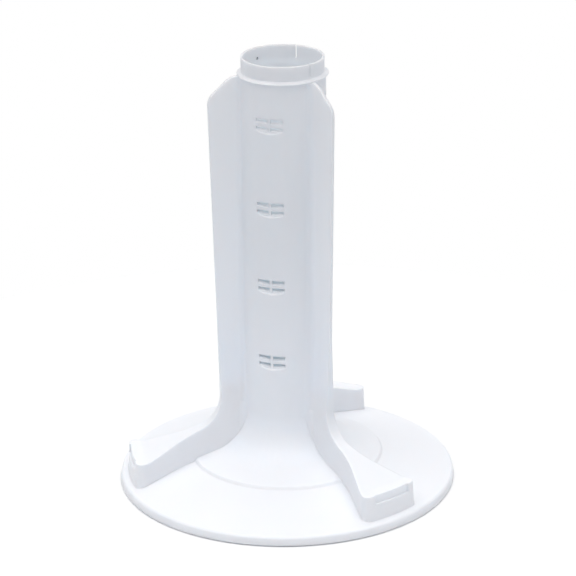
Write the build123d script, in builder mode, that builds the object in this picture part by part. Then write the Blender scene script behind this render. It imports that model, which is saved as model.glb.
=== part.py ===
from build123d import *
from math import cos, radians, sin, sqrt, tan
import os

# Washing machine agitator, moulded in one piece: a round skirt, a hollow column, and three thin
# fins that widen at the foot into hollow vanes. Millimetres and degrees, +Z up, origin at the
# centre of the base, one vane along +X.

# Walls of the moulding
WALL = 3.0
COLUMN_WALL = 3.6
RIB_THICKNESS = 2.5

# Skirt: upright rim, cone, low round step and the dome inside it
RIM_RADIUS = 170.0
RIM_HEIGHT = 9.7
RIM_TAPER = 1.9
RIM_EDGE_CHAMFER = 1.2
SKIRT_SLOPE = 13.1
STEP_RADIUS = 96.8
STEP_WIDTH = 2.0
STEP_RISE = 2.6
DOME_SLOPE = 18.5

# Column, flange and neck
COLUMN_RADIUS = 42.0
COLUMN_FOOT_RADIUS = 30.0
FLANGE_BASE = 425.0
FLANGE_EDGE = 0.8
FLANGE_RISE = 2.6
FLANGE_RADIUS = 44.5
NECK_HEIGHT = 14.4
NECK_WALL = 2.2
NOTCH_WIDTH = 1.6
NOTCH_DEPTH = 12.5
PIN_HOLE_RADIUS = 1.2
PIN_HOLE_RISE = 3.5

# Fins, whose flanks widen downwards below the flare's top
VANE_COUNT = 3
FIN_THICKNESS = 3.2
FIN_EDGE_RADIUS = 74.3
FIN_DRAFT = 1.25
FIN_ROOT_RADIUS = 7.0
FLARE_TOP = 165.0
FLARE_DRAFT = 2.65
SHOULDER_RADIUS = 50.8
SHOULDER_ANGLE = 43.0
SHOULDER_INNER_FILLET = 18.0
SHOULDER_OUTER_FILLET = 16.0

# Vanes: the ridge falls outwards while the flanks spread
VANE_END_RADIUS = 160.0
VANE_END_RISE = 25.4
VANE_CORNER_RADIUS = 6.0
SPREAD_RADIUS = 99.4
SPREAD_ANGLE = 25.5
SPREAD_BLEND = 92.0
RIDGE_SLOPE = 22.0
RIDGE_END_LENGTH = 16.0
RIDGE_END_FILLET = 20.0
RIDGE_FOOT_FILLET = 35.0
REBATE_ANGLE = 7.8
REBATE_DEPTH = 4.0
REBATE_HEIGHT = 8.5
FIN_CORE_HEIGHT = 105.0

# Louvre windows in the column, groups of two by two slots in a shallow panel
LOUVRE_RISE = 69.0
LOUVRE_PITCH = 80.0
LOUVRE_DROP = 41.5
PANEL_WIDTH = 31.0
PANEL_HEIGHT = 16.0
PANEL_DROP = 0.7
PANEL_DEPTH = 1.2
PANEL_SILL_ANGLE = 50.0
SLOT_WIDTH = 12.2
SLOT_HEIGHT = 4.4
SLOT_GAP = 2.8
SLOT_PITCH = 7.6
SLOT_SILL_ANGLE = 30.0

# Inside the foot: partition, bolt seat, drive socket and ribs
PARTITION_RISE = 18.2
PARTITION_THICKNESS = 5.0
CORE_LEAN = 14.0
BOLT_SEAT_RADIUS = 10.0
BOLT_SEAT_DEPTH = 2.0
BOLT_HOLE_RADIUS = 4.3
BOLT_HOLE_LENGTH = 8.0
SOCKET_RADIUS = 13.0
SOCKET_WALL = 5.0
SPLINE_COUNT = 8
SPLINE_WIDTH = 2.2
SPLINE_DEPTH = 1.4
RIB_ANGLE = 20.0
RIB_FOOT = 5.0
RIB_END_RADIUS = 150.0

# Room that a cutting shape takes past the face it cuts, and how near counts as touching
MARGIN = 10.0
TOUCH = 0.01

# Places that follow from the sizes above
half_pitch = 180.0 / VANE_COUNT
rim_top_radius = RIM_RADIUS - RIM_TAPER
rim_core_radius = RIM_RADIUS - WALL + RIM_TAPER * MARGIN / RIM_HEIGHT
step_inner_radius = STEP_RADIUS - STEP_WIDTH
bore_radius = COLUMN_RADIUS - COLUMN_WALL
neck_radius = bore_radius + NECK_WALL
neck_base = FLANGE_BASE + FLANGE_RISE
neck_top = neck_base + NECK_HEIGHT


def cone_height(radius, depth=0.0):
    """Height of the skirt's cone, or of a parallel face at a depth below it."""
    rise = (rim_top_radius - radius) * tan(radians(SKIRT_SLOPE))
    return RIM_HEIGHT + rise - depth / cos(radians(SKIRT_SLOPE))


def dome_height(radius, depth=0.0):
    """Height of the dome inside the step, or of a parallel face at a depth below it."""
    rise = (step_inner_radius - radius) * tan(radians(DOME_SLOPE))
    return cone_height(STEP_RADIUS) + STEP_RISE + rise - depth / cos(radians(DOME_SLOPE))


def skirt_corners(depth=0.0):
    """Corners of the skirt's section, from the rim's top to the foot of the column."""
    foot_radius = COLUMN_RADIUS - depth
    return [
        (rim_top_radius - depth, cone_height(rim_top_radius - depth, depth)),
        (STEP_RADIUS, cone_height(STEP_RADIUS, depth)),
        (step_inner_radius, dome_height(step_inner_radius, depth)),
        (foot_radius, dome_height(foot_radius, depth)),
    ]


partition_base = dome_height(COLUMN_RADIUS) + PARTITION_RISE
partition_top = partition_base + PARTITION_THICKNESS
bolt_seat = partition_top - BOLT_SEAT_DEPTH
socket_roof = bolt_seat - BOLT_HOLE_LENGTH

# Outer form of skirt and column, a solid of revolution
outer_corners = skirt_corners()


def at_rim_edge(vertex):
    """True for the corner between the rim's wall and the cone."""
    return abs(vertex.Y - RIM_HEIGHT) < TOUCH


with BuildPart() as turned:
    with BuildSketch(Plane.XZ) as skirt:
        with BuildLine():
            FilletPolyline(
                *outer_corners[-2:],
                (COLUMN_RADIUS, FLANGE_BASE),
                radius=COLUMN_FOOT_RADIUS,
            )
            Polyline(
                (COLUMN_RADIUS, FLANGE_BASE),
                (0, FLANGE_BASE),
                (0, 0),
                (RIM_RADIUS, 0),
                *outer_corners[:-1],
            )
        make_face()
        rim_edge = skirt.vertices().filter_by(at_rim_edge)
        chamfer(rim_edge, RIM_EDGE_CHAMFER)
    revolve(axis=Axis.Z)

# Ridge of a vane and edge of its fin, seen from the side
vane_end_height = cone_height(VANE_END_RADIUS) + VANE_END_RISE
ridge_end_radius = VANE_END_RADIUS - RIDGE_END_LENGTH
ridge_base_height = vane_end_height + ridge_end_radius * tan(radians(RIDGE_SLOPE))
fin_foot_radius = FIN_EDGE_RADIUS - FLANGE_BASE * tan(radians(FIN_DRAFT))
ridge_foot_radius = fin_foot_radius + ridge_base_height * tan(radians(FIN_DRAFT))
ridge_foot_radius /= 1 + tan(radians(FIN_DRAFT)) * tan(radians(RIDGE_SLOPE))
ridge_foot_height = ridge_base_height - ridge_foot_radius * tan(radians(RIDGE_SLOPE))
shoulder_drop = (FIN_EDGE_RADIUS - SHOULDER_RADIUS) * tan(radians(SHOULDER_ANGLE))

# Flanks of a vane, seen from above at the base
flank_slope = tan(radians(FLARE_DRAFT))
flank_foot = FIN_THICKNESS / 2 + FLARE_TOP * flank_slope
vane_foot_radius = VANE_END_RADIUS + vane_end_height * flank_slope
vane_reach = vane_foot_radius + MARGIN
spread = (vane_reach - SPREAD_RADIUS) * tan(radians(SPREAD_ANGLE))
half_span = flank_foot + spread


def vane_side(depth=0.0):
    """Vane and fin seen from the side, or their hollow at a depth inside them."""
    with BuildSketch(Plane.XZ.offset(-half_span)) as side:
        with BuildLine():
            FilletPolyline(
                (vane_reach, vane_end_height),
                (ridge_end_radius, vane_end_height),
                (ridge_foot_radius, ridge_foot_height),
                (FIN_EDGE_RADIUS, FLANGE_BASE - shoulder_drop),
                (SHOULDER_RADIUS, FLANGE_BASE),
                (bore_radius, FLANGE_BASE),
                radius=[
                    RIDGE_END_FILLET,
                    RIDGE_FOOT_FILLET,
                    SHOULDER_OUTER_FILLET,
                    SHOULDER_INNER_FILLET,
                ],
            )
            Polyline(
                (bore_radius, FLANGE_BASE),
                (bore_radius, -MARGIN),
                (vane_reach, -MARGIN),
                (vane_reach, vane_end_height),
            )
        make_face()
        if depth:
            offset(amount=-depth)
    return side.sketch


def vane_plan(level, depth=0.0):
    """Vane seen from above at a level, or its hollow at a depth inside it."""
    inward = depth + level * flank_slope
    with BuildSketch(Plane.XY.offset(level)) as plan:
        with BuildLine():
            half_width = flank_foot - inward
            FilletPolyline(
                (0, -half_width),
                (SPREAD_RADIUS, -half_width),
                (vane_reach, -half_width - spread),
                radius=SPREAD_BLEND + inward,
            )
            Polyline(
                (vane_reach, -half_width - spread),
                (vane_reach, 0),
                (0, 0),
                (0, -half_width),
            )
        make_face()
        mirror(about=Plane.XZ)
        Circle(vane_foot_radius - inward, mode=Mode.INTERSECT)
        tips = plan.vertices().group_by(SortBy.DISTANCE)[-1]
        fillet(tips, VANE_CORNER_RADIUS + vane_end_height * flank_slope - inward)
    return plan.sketch


def fin_front(*corners):
    """Fin seen along its own plane, from corners on one flank given as half width and height."""
    foot = corners[0][1]
    top = corners[-1][1]
    with BuildSketch(Plane.YZ) as front:
        with BuildLine():
            Polyline((0, foot), *corners, (0, top), close=True)
        make_face()
        mirror(about=Plane.YZ)
    return front.sketch


def flank_at(level, depth=0.0):
    """Corner of the fin's flared flank at a level, or of its hollow at a depth inside it."""
    return (flank_foot - level * flank_slope - depth, level)


def along_column(edge):
    """True for an edge that climbs the column's surface, as a fin's root does."""
    ends = [Vector(vertex.X, vertex.Y).length for vertex in edge.vertices()]
    climbs = edge.bounding_box().size.Z > MARGIN
    beside_fin = edge.center().X > 0
    return climbs and beside_fin and all(abs(end - COLUMN_RADIUS) < TOUCH for end in ends)


# Blank of one vane with its fin and rounded roots, full height, before its ridge is cut
seam = ridge_foot_height + MARGIN

with BuildPart() as vane_blank:
    extrude(vane_plan(0), amount=seam, taper=FLARE_DRAFT)
    blade = fin_front(flank_at(seam), flank_at(FLARE_TOP), (FIN_THICKNESS / 2, FLANGE_BASE))
    extrude(blade, amount=FIN_EDGE_RADIUS + MARGIN)
    with BuildSketch():
        Circle(COLUMN_RADIUS)
    extrude(amount=FLANGE_BASE)
    fillet(vane_blank.edges().filter_by(along_column), FIN_ROOT_RADIUS)

# What is cut off above the ridge and beside the fin
with BuildPart() as above_ridge:
    with BuildSketch(Plane.XZ.offset(-half_span)):
        with Locations((COLUMN_RADIUS, 0)):
            Rectangle(vane_reach - COLUMN_RADIUS, FLANGE_BASE + MARGIN, align=(Align.MIN, Align.MIN))
        add(vane_side(), mode=Mode.SUBTRACT)
    extrude(amount=2 * half_span)


def rebate(depth=0.0):
    """Rebate in the vane's end wall, or the larger block that keeps a wall behind it."""
    side_angle = radians(REBATE_ANGLE) + depth / VANE_END_RADIUS
    side = (vane_reach * cos(side_angle), vane_reach * sin(side_angle))
    ledge = vane_end_height - REBATE_HEIGHT - depth
    with BuildPart() as block:
        with BuildSketch(Plane.XY.offset(ledge)):
            with BuildLine():
                Polyline((0, 0), side, (side[0], -side[1]), close=True)
            make_face()
            Circle(VANE_END_RADIUS - REBATE_DEPTH - depth, mode=Mode.SUBTRACT)
        extrude(amount=vane_end_height)
    return block.part


# Hollow of one vane and of its fin's wide foot, one wall inside the outer form and open below
core_seam = ridge_foot_height - WALL

with BuildPart() as vane_core:
    extrude(vane_plan(-MARGIN, WALL), amount=MARGIN + core_seam, taper=FLARE_DRAFT)
    blade_core = fin_front(flank_at(core_seam, WALL), flank_at(FIN_CORE_HEIGHT, WALL))
    extrude(blade_core, amount=FIN_EDGE_RADIUS + MARGIN)
    with BuildSketch(Plane.XY.offset(partition_base)):
        Circle(COLUMN_RADIUS)
    extrude(amount=FIN_CORE_HEIGHT, mode=Mode.SUBTRACT)
    extrude(vane_side(WALL), amount=2 * half_span, mode=Mode.INTERSECT)
    add(rebate(WALL), mode=Mode.SUBTRACT)

# Space under the skirt, with the socket and the ribs standing in it. Its roof leans in to the
# partition behind the rounded foot of the column.
core_corners = skirt_corners(WALL)
core_foot_radius = COLUMN_RADIUS - WALL + CORE_LEAN

with BuildPart() as skirt_core:
    with BuildSketch(Plane.XZ):
        with BuildLine():
            Polyline(
                (0, -MARGIN),
                (rim_core_radius, -MARGIN),
                *core_corners[:-1],
                (core_foot_radius, dome_height(core_foot_radius, WALL)),
                (COLUMN_RADIUS - WALL, partition_base),
                (0, partition_base),
                close=True,
            )
        make_face()
    revolve(axis=Axis.Z)
    with PolarLocations(0, VANE_COUNT):
        add(vane_core.part)
    with BuildSketch(Plane.XY.offset(RIB_FOOT)):
        for angle in (-RIB_ANGLE, RIB_ANGLE):
            with PolarLocations(RIB_END_RADIUS / 2, VANE_COUNT, start_angle=angle):
                Rectangle(RIB_END_RADIUS, RIB_THICKNESS)
    extrude(amount=partition_base, mode=Mode.SUBTRACT)
    with BuildSketch(Plane.XY.offset(RIB_FOOT)):
        Circle(SOCKET_RADIUS + SOCKET_WALL)
    extrude(amount=partition_base, mode=Mode.SUBTRACT)

# Louvre slots in their shallow panel. The panel's floor is flatter than the column, so it runs
# out at the sides, and the sills slope outwards.
half_panel = PANEL_WIDTH / 2
panel_sag = COLUMN_RADIUS - sqrt(COLUMN_RADIUS**2 - half_panel**2) - PANEL_DEPTH
panel_floor_radius = (half_panel**2 + panel_sag**2) / (2 * panel_sag)
slot_reach = SLOT_WIDTH + SLOT_GAP / 2
slot_back = sqrt(bore_radius**2 - slot_reach**2) - COLUMN_WALL / 2


def window(width, height, face, sill_angle):
    """Block on the side towards +X whose sloping foot crosses the face at half the height below 0."""
    outside = COLUMN_RADIUS + MARGIN
    slope = tan(radians(sill_angle))
    with BuildPart() as block:
        with BuildSketch(Plane.XZ.offset(-width / 2)):
            with BuildLine():
                Polyline(
                    (slot_back, height / 2),
                    (outside, height / 2),
                    (outside, -height / 2 - (outside - face) * slope),
                    (slot_back, -height / 2 + (face - slot_back) * slope),
                    close=True,
                )
            make_face()
        extrude(amount=width)
    return block.part


# One group of slots at height 0
with BuildPart() as louvre:
    with Locations((0, 0, -PANEL_DROP)):
        add(window(PANEL_WIDTH, PANEL_HEIGHT, COLUMN_RADIUS, PANEL_SILL_ANGLE))
    with Locations((COLUMN_RADIUS - PANEL_DEPTH - panel_floor_radius, 0, 0)):
        Cylinder(panel_floor_radius, 3 * PANEL_HEIGHT, mode=Mode.SUBTRACT)
    slot = window(SLOT_WIDTH, SLOT_HEIGHT, COLUMN_RADIUS - PANEL_DEPTH, SLOT_SILL_ANGLE)
    side_shift = (SLOT_WIDTH + SLOT_GAP) / 2
    for across in (-side_shift, side_shift):
        for up in (-SLOT_PITCH / 2, SLOT_PITCH / 2):
            with Locations((0, across, up)):
                add(slot)

# Groups climb from the partition at an even pitch, and the last one hangs below the flange
louvre_base = partition_top + LOUVRE_RISE
louvre_top = FLANGE_BASE - LOUVRE_DROP
lower_groups = round((louvre_top - louvre_base) / LOUVRE_PITCH)
louvre_heights = [louvre_base + group * LOUVRE_PITCH for group in range(lower_groups)]
louvre_heights.append(louvre_top)

with BuildPart() as agitator:
    add(turned.part)
    # Fins and vanes
    with PolarLocations(0, VANE_COUNT):
        add(vane_blank.part)
    with PolarLocations(0, VANE_COUNT):
        add(above_ridge.part, mode=Mode.SUBTRACT)
        add(rebate(), mode=Mode.SUBTRACT)
    add(skirt_core.part, mode=Mode.SUBTRACT)
    # Flange and neck
    with BuildSketch(Plane.XZ):
        with BuildLine():
            Polyline(
                (0, FLANGE_BASE),
                (FLANGE_RADIUS, FLANGE_BASE),
                (FLANGE_RADIUS, FLANGE_BASE + FLANGE_EDGE),
                (neck_radius, neck_base),
                (neck_radius, neck_top),
                (0, neck_top),
                close=True,
            )
        make_face()
    revolve(axis=Axis.Z)
    # Bore of column and neck
    with BuildSketch(Plane.XY.offset(partition_top)):
        Circle(bore_radius)
    extrude(amount=neck_top, mode=Mode.SUBTRACT)
    # Notches in the neck over the fins, and one pin hole
    with BuildSketch(Plane.XY.offset(neck_top - NOTCH_DEPTH)):
        with PolarLocations(neck_radius, VANE_COUNT):
            Rectangle(4 * NECK_WALL, NOTCH_WIDTH)
    extrude(amount=NOTCH_DEPTH + MARGIN, mode=Mode.SUBTRACT)
    with BuildSketch(Plane.YZ):
        with Locations((0, neck_base + PIN_HOLE_RISE)):
            Circle(PIN_HOLE_RADIUS)
    extrude(amount=-FLANGE_RADIUS, mode=Mode.SUBTRACT)
    # Louvre windows on the faces between the fins
    with PolarLocations(0, VANE_COUNT, start_angle=half_pitch):
        with Locations(*[(0, 0, height) for height in louvre_heights]):
            add(louvre.part, mode=Mode.SUBTRACT)
    # Seat and hole of the fixing bolt, and the splined socket
    with BuildSketch(Plane.XY.offset(bolt_seat)):
        Circle(BOLT_SEAT_RADIUS)
    extrude(amount=COLUMN_RADIUS, mode=Mode.SUBTRACT)
    with BuildSketch(Plane.XY.offset(socket_roof)):
        Circle(BOLT_HOLE_RADIUS)
    extrude(amount=COLUMN_RADIUS, mode=Mode.SUBTRACT)
    with BuildSketch(Plane.XY):
        Circle(SOCKET_RADIUS)
        with PolarLocations(SOCKET_RADIUS, SPLINE_COUNT):
            Rectangle(2 * SPLINE_DEPTH, SPLINE_WIDTH)
    extrude(amount=socket_roof, mode=Mode.SUBTRACT)

agitator.part.label = "agitator"

os.makedirs("parts", exist_ok=True)
export_step(agitator.part, "parts/agitator.step")
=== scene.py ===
import bmesh
import bpy
from math import atan2, cos, hypot, pi, radians, remainder, sin
from mathutils import Matrix, Vector
from mathutils.bvhtree import BVHTree


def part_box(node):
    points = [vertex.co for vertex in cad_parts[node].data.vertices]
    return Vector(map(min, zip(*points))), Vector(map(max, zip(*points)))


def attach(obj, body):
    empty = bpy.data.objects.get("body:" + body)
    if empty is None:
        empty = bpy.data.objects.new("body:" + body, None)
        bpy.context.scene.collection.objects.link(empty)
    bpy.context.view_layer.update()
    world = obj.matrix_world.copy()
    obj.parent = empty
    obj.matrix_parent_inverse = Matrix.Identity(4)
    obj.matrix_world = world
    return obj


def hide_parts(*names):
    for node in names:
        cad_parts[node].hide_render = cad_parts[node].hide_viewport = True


# Washing machine agitator of white moulded plastic on a white studio sweep, in metres, +Z up.

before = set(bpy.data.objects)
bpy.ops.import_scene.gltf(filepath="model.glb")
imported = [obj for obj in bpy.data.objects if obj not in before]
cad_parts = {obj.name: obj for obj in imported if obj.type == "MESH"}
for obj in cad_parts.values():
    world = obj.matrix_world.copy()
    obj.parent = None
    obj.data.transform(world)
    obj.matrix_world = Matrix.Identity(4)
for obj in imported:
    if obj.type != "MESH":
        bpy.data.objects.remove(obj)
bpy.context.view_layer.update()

MOULDING = "agitator"
BODY = "root"
foot_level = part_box(MOULDING)[0].z
rim_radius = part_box(MOULDING)[1].x

WHITE = (1.0, 1.0, 1.0, 1.0)
BLACK = (0.0, 0.0, 0.0, 1.0)

# Camera: it stands well back from the object and above it, and looks down on it
IMAGE_WIDTH = 576
FOCAL_PIXELS = 2700
SENSOR_WIDTH = 36.0
CAMERA_DISTANCE = 2.5051
CAMERA_HEIGHT = 1.169
CAMERA_AZIMUTH = 50.0
CAMERA_PITCH = 0.3683
CAMERA_YAW = 0.00115
CAMERA_ROLL = -0.0111
FARTHEST_SEEN = 50.0

# Light: a wide soft sun nearly straight above, which leans a little to the camera's side, and an
# even, faintly cool surround that shows as plain white
SURROUND_COLOUR = (0.92, 0.965, 1.06, 1.0)
SURROUND_STRENGTH = 0.43
SUN_COLOUR = (1.0, 0.98, 0.95)
SUN_STRENGTH = 2.5
SUN_SPREAD = radians(80)
SUN_LEAN = radians(8.5)
SUN_AZIMUTH = 30.0

# Floor, which glows where the camera sees it outside the rim
FLOOR_RADIUS = 0.6
FLOOR_SEGMENTS = 96
FLOOR_COLOUR = (0.92, 0.92, 0.92, 1.0)
FLOOR_ROUGHNESS = 0.9
FLOOR_GLOW = 0.5

# Finish of the moulding
PLASTIC_COLOUR = (0.845, 0.868, 0.91, 1.0)
PLASTIC_ROUGHNESS = 0.42
PLASTIC_IOR = 1.49

# Faint clouds where the melt flowed, slightly darker and rougher, and the grain of the mould
CLOUD_SCALE = 14.0
CLOUD_DETAIL = 3.0
CLOUD_SHADE = 0.985
CLOUD_ROUGHNESS = 0.06
GRAIN_SCALE = 1400.0
GRAIN_DETAIL = 2.0
GRAIN_STRENGTH = 0.12
GRAIN_DEPTH = 0.00006

# Scatter of the light in the plastic, which is stronger and deeper up the column than in the foot
SCATTER_RADIUS = (0.86, 1.0, 1.06)
FOOT_SCATTER_SHARE = 0.6
FOOT_SCATTER_DEPTH = 0.005
TOP_SCATTER_SHARE = 1.0
TOP_SCATTER_DEPTH = 0.016
SHALLOW_BELOW = 0.16
DEEP_ABOVE = 0.42

# Rounding of the edges, which is wider at the foot
EDGE_ROUNDING = 0.0007
EDGE_SAMPLES = 6
FOOT_EDGE_ROUNDING = 0.002
FOOT_EDGE_SAMPLES = 8
WIDE_BELOW = 0.09
NARROW_ABOVE = 0.12

# Small rebate round the rim's foot, which leaves a dark line where it stands on the floor
FOOT_REBATE_HEIGHT = 0.0015
FOOT_REBATE_DEPTH = 0.0026

# Rebate in each vane's end, whose back wall lies at this radius in the CAD solid
VANE_REBATE_RADIUS = 0.156
VANE_REBATE_ANGLE = radians(8)
VANE_REBATE_SHIFT = 0.0024
VANE_COUNT = 3

# Fillet round the column's foot: the corner that it rounds, the dome's slope there, how far it
# reaches from the corner in the solid and in the skin, and the reach past which nothing is moved
COLUMN_RADIUS = 0.042
CORNER_LEVEL = 0.04656
DOME_SLOPE = radians(18.5)
FILLET_REACH = 0.0216
WIDE_FILLET_REACH = 0.034
FILLET_END = 0.0556

# Root fillets of the fins: the level that they run down to, and how near the column they stay
ROOT_FOOT_LEVEL = 0.0784
ROOT_REACH = 0.0065

# Pin hole through the neck's wall on the side of -X, with painted shade, a dark colour for the shadow
# in the hole, on all that lies in this radius, which is a little wider than the hole
PIN_HOLE_LEVEL = 0.4311
PIN_HOLE_RADIUS = 0.00135
# Painted shade: the dark colour given to the pin hole and a thin ring round it
HOLE_SHADE_COLOUR = (0.12, 0.12, 0.13, 1.0)

# Glow of the column's bore, a stand-in for the daylight that comes through the real walls. It is on
# all that lies above the partition in this radius, which is a little wider than the bore.
BORE_RADIUS = 0.0387
PARTITION_LEVEL = 0.07
BORE_GLOW = (0.062, 0.073, 0.077, 1.0)
GLOW_FULL_BELOW = 0.32
GLOW_GONE_ABOVE = 0.44

# Joining of the CAD's loose facets: corners this near are one, and edges this short go
SAME_PLACE = 0.00001
LEAST_EDGE = 0.000001

# Shading of the skin: two CAD faces that meet at less than this angle are tangent there, and a
# facet that leaves the circle through its corners by less than the sag belongs to a turned surface.
# Lengths that differ by less than the sag count as the same.
TANGENT_ANGLE = radians(9.5)
TURNED_SAG = 0.0002


class Wire:
    """An output socket. Sums, products and the like on it add Math nodes to its material."""

    def __init__(self, shader, socket):
        self.shader = shader
        self.socket = socket

    def maths(self, operation, first, second):
        """Adds one Math node."""
        return self.shader.node("ShaderNodeMath", {"operation": operation}, {0: first, 1: second})

    def __add__(self, other):
        return self.maths("ADD", self, other)

    __radd__ = __add__

    def __sub__(self, other):
        return self.maths("SUBTRACT", self, other)

    def __mul__(self, other):
        return self.maths("MULTIPLY", self, other)

    __rmul__ = __mul__

    def __lt__(self, other):
        return self.maths("LESS_THAN", self, other)

    def __gt__(self, other):
        return self.maths("GREATER_THAN", self, other)

    def twin(self, name):
        """Another output of the same node."""
        return Wire(self.shader, self.socket.node.outputs[name])


class Shader:
    """A material whose nodes are added one by one."""

    def __init__(self, name):
        self.material = bpy.data.materials.new(name)
        self.material.use_nodes = True
        self.tree = self.material.node_tree
        self.tree.nodes.clear()

    def node(self, kind, settings=None, inputs=None, output=0):
        """Adds a node, sets it up, and gives its output to link onwards."""
        made = self.tree.nodes.new(kind)
        for name, value in (settings or {}).items():
            setattr(made, name, value)
        for name, value in (inputs or {}).items():
            if isinstance(value, Wire):
                self.tree.links.new(value.socket, made.inputs[name])
            else:
                made.inputs[name].default_value = value
        return Wire(self, made.outputs[output])

    def blend(self, factor, first, second):
        """Mixes two colours."""
        inputs = {"Factor": factor, "A": first, "B": second}
        return self.node("ShaderNodeMix", {"data_type": "RGBA"}, inputs, output="Result")

    def share(self, value, none_at, full_at):
        """Goes from 0 to 1 as a value goes from one level to another, and stays there beyond them."""
        inputs = {"Value": value, "From Min": none_at, "From Max": full_at}
        return self.node("ShaderNodeMapRange", inputs=inputs)

    def finish(self, surface):
        """Links the surface shader to the material's end."""
        end = self.tree.nodes.new("ShaderNodeOutputMaterial")
        self.tree.links.new(surface.socket, end.inputs["Surface"])
        return self.material


def skin_colour(shader, clouds, along, across, height):
    """White with faint clouds, and painted shade in and just round the pin hole."""
    rise = height - PIN_HOLE_LEVEL
    in_hole = (across * across + rise * rise < PIN_HOLE_RADIUS**2) * (along < 0.0)
    clouded = [CLOUD_SHADE * part for part in PLASTIC_COLOUR[:3]] + [1.0]
    # Painted shade: the pin hole's wall and its lip take the dark hole colour
    return shader.blend(in_hole, shader.blend(clouds, PLASTIC_COLOUR, clouded), HOLE_SHADE_COLOUR)


def bore_glow(shader, along, across, height):
    """Faint emission of the column's bore, which fades towards the neck."""
    in_bore = (along * along + across * across < BORE_RADIUS**2) * (height > PARTITION_LEVEL)
    strength = in_bore * shader.share(height, GLOW_GONE_ABOVE, GLOW_FULL_BELOW)
    return shader.blend(strength, BLACK, BORE_GLOW)


def rounded_edges(shader, height):
    """Normals that round the edges, widely at the foot and narrowly above it."""
    wide = shader.node("ShaderNodeBevel", {"samples": FOOT_EDGE_SAMPLES}, {"Radius": FOOT_EDGE_ROUNDING})
    narrow = shader.node("ShaderNodeBevel", {"samples": EDGE_SAMPLES}, {"Radius": EDGE_ROUNDING})
    # Sockets 4 and 5 are the two vectors that the node mixes, and its output 1 is the mixed vector
    inputs = {"Factor": shader.share(height, WIDE_BELOW, NARROW_ABOVE), 4: wide, 5: narrow}
    return shader.node("ShaderNodeMix", {"data_type": "VECTOR"}, inputs, output=1)


def moulded_plastic():
    """White polypropylene: a satin skin with a very fine grain, which lets some light in."""
    shader = Shader("white_moulded_plastic")
    place = shader.node("ShaderNodeTexCoord", output="Object")
    along = shader.node("ShaderNodeSeparateXYZ", inputs={"Vector": place}, output="X")
    across = along.twin("Y")
    height = along.twin("Z")
    clouds = shader.node(
        "ShaderNodeTexNoise", inputs={"Vector": place, "Scale": CLOUD_SCALE, "Detail": CLOUD_DETAIL}
    )
    grain = shader.node(
        "ShaderNodeTexNoise", inputs={"Vector": place, "Scale": GRAIN_SCALE, "Detail": GRAIN_DETAIL}
    )
    relief = shader.node(
        "ShaderNodeBump",
        inputs={
            "Strength": GRAIN_STRENGTH,
            "Distance": GRAIN_DEPTH,
            "Height": grain,
            "Normal": rounded_edges(shader, height),
        },
    )
    skin = {
        "Base Color": skin_colour(shader, clouds, along, across, height),
        "Roughness": PLASTIC_ROUGHNESS + CLOUD_ROUGHNESS * clouds,
        "IOR": PLASTIC_IOR,
        "Emission Color": bore_glow(shader, along, across, height),
        "Emission Strength": 1.0,
        "Subsurface Radius": SCATTER_RADIUS,
        "Normal": relief,
    }
    shallow = {"Subsurface Weight": FOOT_SCATTER_SHARE, "Subsurface Scale": FOOT_SCATTER_DEPTH}
    deep = {"Subsurface Weight": TOP_SCATTER_SHARE, "Subsurface Scale": TOP_SCATTER_DEPTH}
    inputs = {
        0: shader.share(height, SHALLOW_BELOW, DEEP_ABOVE),
        1: shader.node("ShaderNodeBsdfPrincipled", inputs=skin | shallow),
        2: shader.node("ShaderNodeBsdfPrincipled", inputs=skin | deep),
    }
    return shader.finish(shader.node("ShaderNodeMixShader", inputs=inputs))


def sweep_white():
    """Matt white of the floor, lifted towards the surround's white where it is seen outside the rim."""
    shader = Shader("sweep_white")
    place = shader.node("ShaderNodeTexCoord", output="Object")
    reach = shader.node("ShaderNodeVectorMath", {"operation": "LENGTH"}, {0: place}, output="Value")
    matt = shader.node("ShaderNodeBsdfDiffuse", inputs={"Color": FLOOR_COLOUR, "Roughness": FLOOR_ROUGHNESS})
    glow = shader.node("ShaderNodeEmission", inputs={"Color": WHITE, "Strength": 1.0})
    camera = shader.node("ShaderNodeLightPath", output="Is Camera Ray")
    seen = camera + camera.twin("Is Glossy Ray")
    outside = reach > rim_radius
    inputs = {0: FLOOR_GLOW * seen * outside, 1: matt, 2: glow}
    return shader.finish(shader.node("ShaderNodeMixShader", inputs=inputs))


def from_axis(place):
    """Distance of a point from the column's axis."""
    return hypot(place.x, place.y)


def is_near(length, other):
    """True for two lengths that differ by less than the facets' sag."""
    return abs(length - other) < TURNED_SAG


def number_faces(shell):
    """Numbers the loose sheets of facets, each of which is one face of the CAD solid."""
    number = shell.faces.layers.int.new("cad_face")
    count = 0
    for start in shell.faces:
        if start[number]:
            continue
        count += 1
        start[number] = count
        sheet = [start]
        for face in sheet:
            beside = {other for edge in face.edges for other in edge.link_faces if not other[number]}
            for other in beside:
                other[number] = count
            sheet.extend(beside)
    return number


def foot_facets(sheets):
    """Facets of the column's foot, and those of the fins' root fillets that end on it."""
    fillet_edge = COLUMN_RADIUS + FILLET_REACH * cos(DOME_SLOPE)
    foot, roots = set(), set()
    for sheet in sheets.values():
        radii = [from_axis(corner.co) for face in sheet for corner in face.verts]
        levels = [corner.co.z for face in sheet for corner in face.verts]
        by_column = is_near(min(radii), COLUMN_RADIUS) and not is_near(max(radii), COLUMN_RADIUS)
        on_foot = by_column or is_near(min(radii), fillet_edge)
        if on_foot and max(levels) < ROOT_FOOT_LEVEL + TURNED_SAG:
            foot.update(sheet)
        if by_column and is_near(min(levels), ROOT_FOOT_LEVEL) and max(radii) < COLUMN_RADIUS + ROOT_REACH:
            roots.update(sheet)
    return foot, roots


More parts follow.
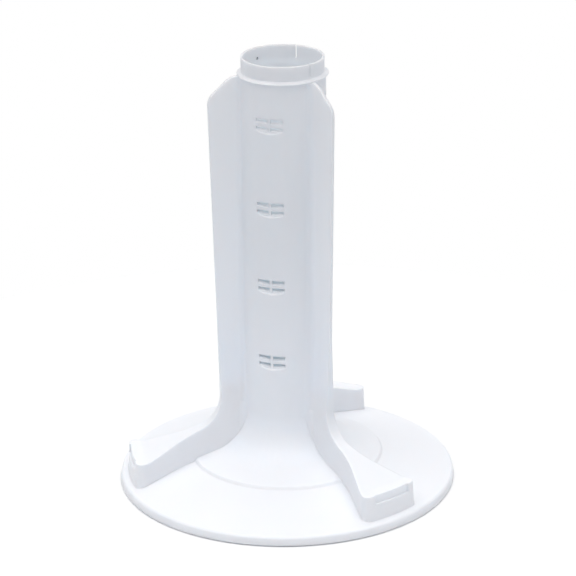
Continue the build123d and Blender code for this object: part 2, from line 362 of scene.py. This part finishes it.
def widened(place):
    """Where a point of the column's foot lies once the fillet is wider."""
    out = Vector((place.x, place.y, 0.0)).normalized()
    corner = COLUMN_RADIUS * out + Vector((0.0, 0.0, CORNER_LEVEL))
    reach = (place - corner).length
    if reach > FILLET_END:
        return place.copy()
    if reach < FILLET_REACH:
        return corner + (place - corner) * WIDE_FILLET_REACH / FILLET_REACH
    share = (reach - FILLET_REACH) / (FILLET_END - FILLET_REACH)
    wide_reach = WIDE_FILLET_REACH + share * (FILLET_END - WIDE_FILLET_REACH)
    return corner + (place - corner) * wide_reach / reach


def widen_column_foot(shell, number):
    """Widens the fillet round the column's foot. Its borders slide over the sheets beside it."""
    sheets = {}
    for face in shell.faces:
        sheets.setdefault(face[number], []).append(face)
    foot, roots = foot_facets(sheets)
    moved = {corner for face in foot | roots for corner in face.verts}
    borders = {corner for corner in moved if any(face not in foot for face in corner.link_faces)}
    beside = {face[number] for corner in borders for face in corner.link_faces if face not in foot}
    places = [corner.co.copy() for sheet in sorted(beside) for face in sheets[sheet] for corner in face.verts]
    triangles = [range(first, first + 3) for first in range(0, len(places), 3)]
    beside_before = BVHTree.FromPolygons(places, triangles)
    for corner in moved:
        corner.co = widened(corner.co)
    for corner in borders:
        corner.co = beside_before.find_nearest(corner.co)[0]


def lies_at_foot(edge):
    """True for an edge of the rim's outer corner, which stands on the floor."""
    ends = [corner.co for corner in edge.verts]
    low = all(is_near(end.z, foot_level) for end in ends)
    return low and all(from_axis(end) > rim_radius - FOOT_REBATE_HEIGHT for end in ends)


def cut_foot_rebate(shell):
    """Cuts a square rebate into the rim's outer foot, and then deepens it."""
    foot = [edge for edge in shell.edges if lies_at_foot(edge)]
    cut = bmesh.ops.bevel(
        shell, geom=foot, offset=FOOT_REBATE_HEIGHT, segments=2, profile=0.0, affect="EDGES", material=-1
    )
    back_radius = rim_radius - FOOT_REBATE_HEIGHT
    back = [corner for corner in cut["verts"] if from_axis(corner.co) < back_radius + TURNED_SAG]
    inwards = (rim_radius - FOOT_REBATE_DEPTH) / back_radius
    bmesh.ops.scale(shell, vec=(inwards, inwards, 1.0), verts=back)


def lies_in_vane_rebate(place):
    """True for a point on the back wall of a vane's rebate."""
    from_vane = remainder(atan2(place.y, place.x), 2 * pi / VANE_COUNT)
    return is_near(from_axis(place), VANE_REBATE_RADIUS) and abs(from_vane) < VANE_REBATE_ANGLE


def narrow_vane_rebates(shell):
    """Brings the back wall of each vane's rebate nearer to the vane's end."""
    back = [corner for corner in shell.verts if lies_in_vane_rebate(corner.co)]
    outwards = (VANE_REBATE_RADIUS + VANE_REBATE_SHIFT) / VANE_REBATE_RADIUS
    bmesh.ops.scale(shell, vec=(outwards, outwards, 1.0), verts=back)


def turned_normal(face, place):
    """Normal of a facet, swung about Z to a corner's azimuth if the facet is part of a turned surface."""
    normal = face.normal
    swing = remainder(atan2(place.y, place.x) - atan2(normal.y, normal.x), pi)
    if from_axis(place) * (1 - cos(swing)) > TURNED_SAG:
        return normal.copy()
    return Matrix.Rotation(swing, 3, "Z") @ normal


def is_soft(edge, number):
    """True for an edge inside one CAD face, or where two such faces are tangent."""
    if not edge.is_manifold:
        return False
    first, second = edge.link_faces
    if first[number] == second[number]:
        return True
    middle = (edge.verts[0].co + edge.verts[1].co) / 2
    return turned_normal(first, middle).angle(turned_normal(second, middle)) < TANGENT_ANGLE


def smooth_fans(vertex):
    """The loops round a vertex, in groups that no sharp edge divides."""
    waiting = list(vertex.link_loops)
    while waiting:
        fan = [waiting.pop()]
        for loop in fan:
            borders = {edge for edge in (loop.edge, loop.link_loop_prev.edge) if edge.smooth}
            beside = [other for other in waiting if borders & {other.edge, other.link_loop_prev.edge}]
            fan += beside
            waiting = [other for other in waiting if other not in beside]
        yield fan


def corner_normals(shell):
    """Normals of all the loops in order: each is the mean of its fan's facets by their area."""
    normals = {}
    for vertex in shell.verts:
        for fan in smooth_fans(vertex):
            total = Vector()
            for loop in fan:
                total += turned_normal(loop.face, vertex.co) * loop.face.calc_area()
            total.normalize()
            for loop in fan:
                normals[loop] = total
    return [normals[loop] for face in shell.faces for loop in face.loops]


def make_moulding():
    """The moulding as one merged, smooth-shaded skin over the CAD solid, which it stands for."""
    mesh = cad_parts[MOULDING].data.copy()
    shell = bmesh.new()
    shell.from_mesh(mesh)
    number = number_faces(shell)
    bmesh.ops.remove_doubles(shell, verts=shell.verts, dist=SAME_PLACE)
    bmesh.ops.dissolve_degenerate(shell, edges=shell.edges, dist=LEAST_EDGE)
    widen_column_foot(shell, number)
    cut_foot_rebate(shell)
    narrow_vane_rebates(shell)
    shell.normal_update()
    for face in shell.faces:
        face.smooth = True
    for edge in shell.edges:
        edge.smooth = is_soft(edge, number)
    normals = corner_normals(shell)
    shell.faces.layers.int.remove(number)
    shell.to_mesh(mesh)
    shell.free()
    mesh.normals_split_custom_set(normals)
    mesh.materials.clear()
    mesh.materials.append(moulded_plastic())
    skin = bpy.data.objects.new("moulding", mesh)
    bpy.context.scene.collection.objects.link(skin)
    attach(skin, BODY)
    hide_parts(MOULDING)


def make_floor():
    """Floor of the sweep under the rim."""
    plate = bmesh.new()
    bmesh.ops.create_circle(plate, cap_ends=True, segments=FLOOR_SEGMENTS, radius=FLOOR_RADIUS)
    mesh = bpy.data.meshes.new("floor")
    plate.to_mesh(mesh)
    plate.free()
    mesh.materials.append(sweep_white())
    floor = bpy.data.objects.new("floor", mesh)
    bpy.context.scene.collection.objects.link(floor)


def make_surround():
    """Even light from all round, plain white where the camera or a reflection shows it."""
    world = bpy.data.worlds.new("surround")
    world.use_nodes = True
    tree = world.node_tree
    tree.nodes.clear()
    lit = tree.nodes.new("ShaderNodeBackground")
    lit.inputs["Color"].default_value = SURROUND_COLOUR
    lit.inputs["Strength"].default_value = SURROUND_STRENGTH
    shown = tree.nodes.new("ShaderNodeBackground")
    shown.inputs["Color"].default_value = WHITE
    shown.inputs["Strength"].default_value = 1.0
    path = tree.nodes.new("ShaderNodeLightPath")
    either = tree.nodes.new("ShaderNodeMath")
    either.operation = "ADD"
    choice = tree.nodes.new("ShaderNodeMixShader")
    end = tree.nodes.new("ShaderNodeOutputWorld")
    tree.links.new(path.outputs["Is Camera Ray"], either.inputs[0])
    tree.links.new(path.outputs["Is Glossy Ray"], either.inputs[1])
    tree.links.new(either.outputs[0], choice.inputs[0])
    tree.links.new(lit.outputs[0], choice.inputs[1])
    tree.links.new(shown.outputs[0], choice.inputs[2])
    tree.links.new(choice.outputs[0], end.inputs["Surface"])
    bpy.context.scene.world = world


def place_sun():
    """The soft sun overhead."""
    lamp = bpy.data.lights.new("overhead", "SUN")
    lamp.color = SUN_COLOUR
    lamp.energy = SUN_STRENGTH
    lamp.angle = SUN_SPREAD
    overhead = bpy.data.objects.new("overhead", lamp)
    turn = Matrix.Rotation(radians(SUN_AZIMUTH), 4, "Z")
    overhead.matrix_world = turn @ Matrix.Rotation(SUN_LEAN, 4, "X")
    bpy.context.scene.collection.objects.link(overhead)


def place_camera():
    """Camera fitted to the photograph: its turn about the object comes last."""
    ahead = Vector(
        (sin(CAMERA_YAW) * cos(CAMERA_PITCH), cos(CAMERA_YAW) * cos(CAMERA_PITCH), -sin(CAMERA_PITCH))
    )
    level_right = Vector((cos(CAMERA_YAW), -sin(CAMERA_YAW), 0.0))
    level_up = level_right.cross(ahead)
    right = cos(CAMERA_ROLL) * level_right + sin(CAMERA_ROLL) * level_up
    up = cos(CAMERA_ROLL) * level_up - sin(CAMERA_ROLL) * level_right
    stand = Vector((0.0, -CAMERA_DISTANCE, CAMERA_HEIGHT))
    turn = Matrix.Rotation(radians(CAMERA_AZIMUTH), 4, "Z")
    axes = Matrix((right, up, -ahead)).transposed().to_4x4()
    lens = bpy.data.cameras.new("camera")
    lens.sensor_width = SENSOR_WIDTH
    lens.lens = SENSOR_WIDTH * FOCAL_PIXELS / IMAGE_WIDTH
    lens.clip_end = FARTHEST_SEEN
    camera = bpy.data.objects.new("camera", lens)
    camera.matrix_world = turn @ Matrix.Translation(stand) @ axes
    bpy.context.scene.collection.objects.link(camera)
    bpy.context.scene.camera = camera


place_camera()
make_surround()
place_sun()
make_floor()
make_moulding()
bpy.context.scene.view_settings.view_transform = "Standard"
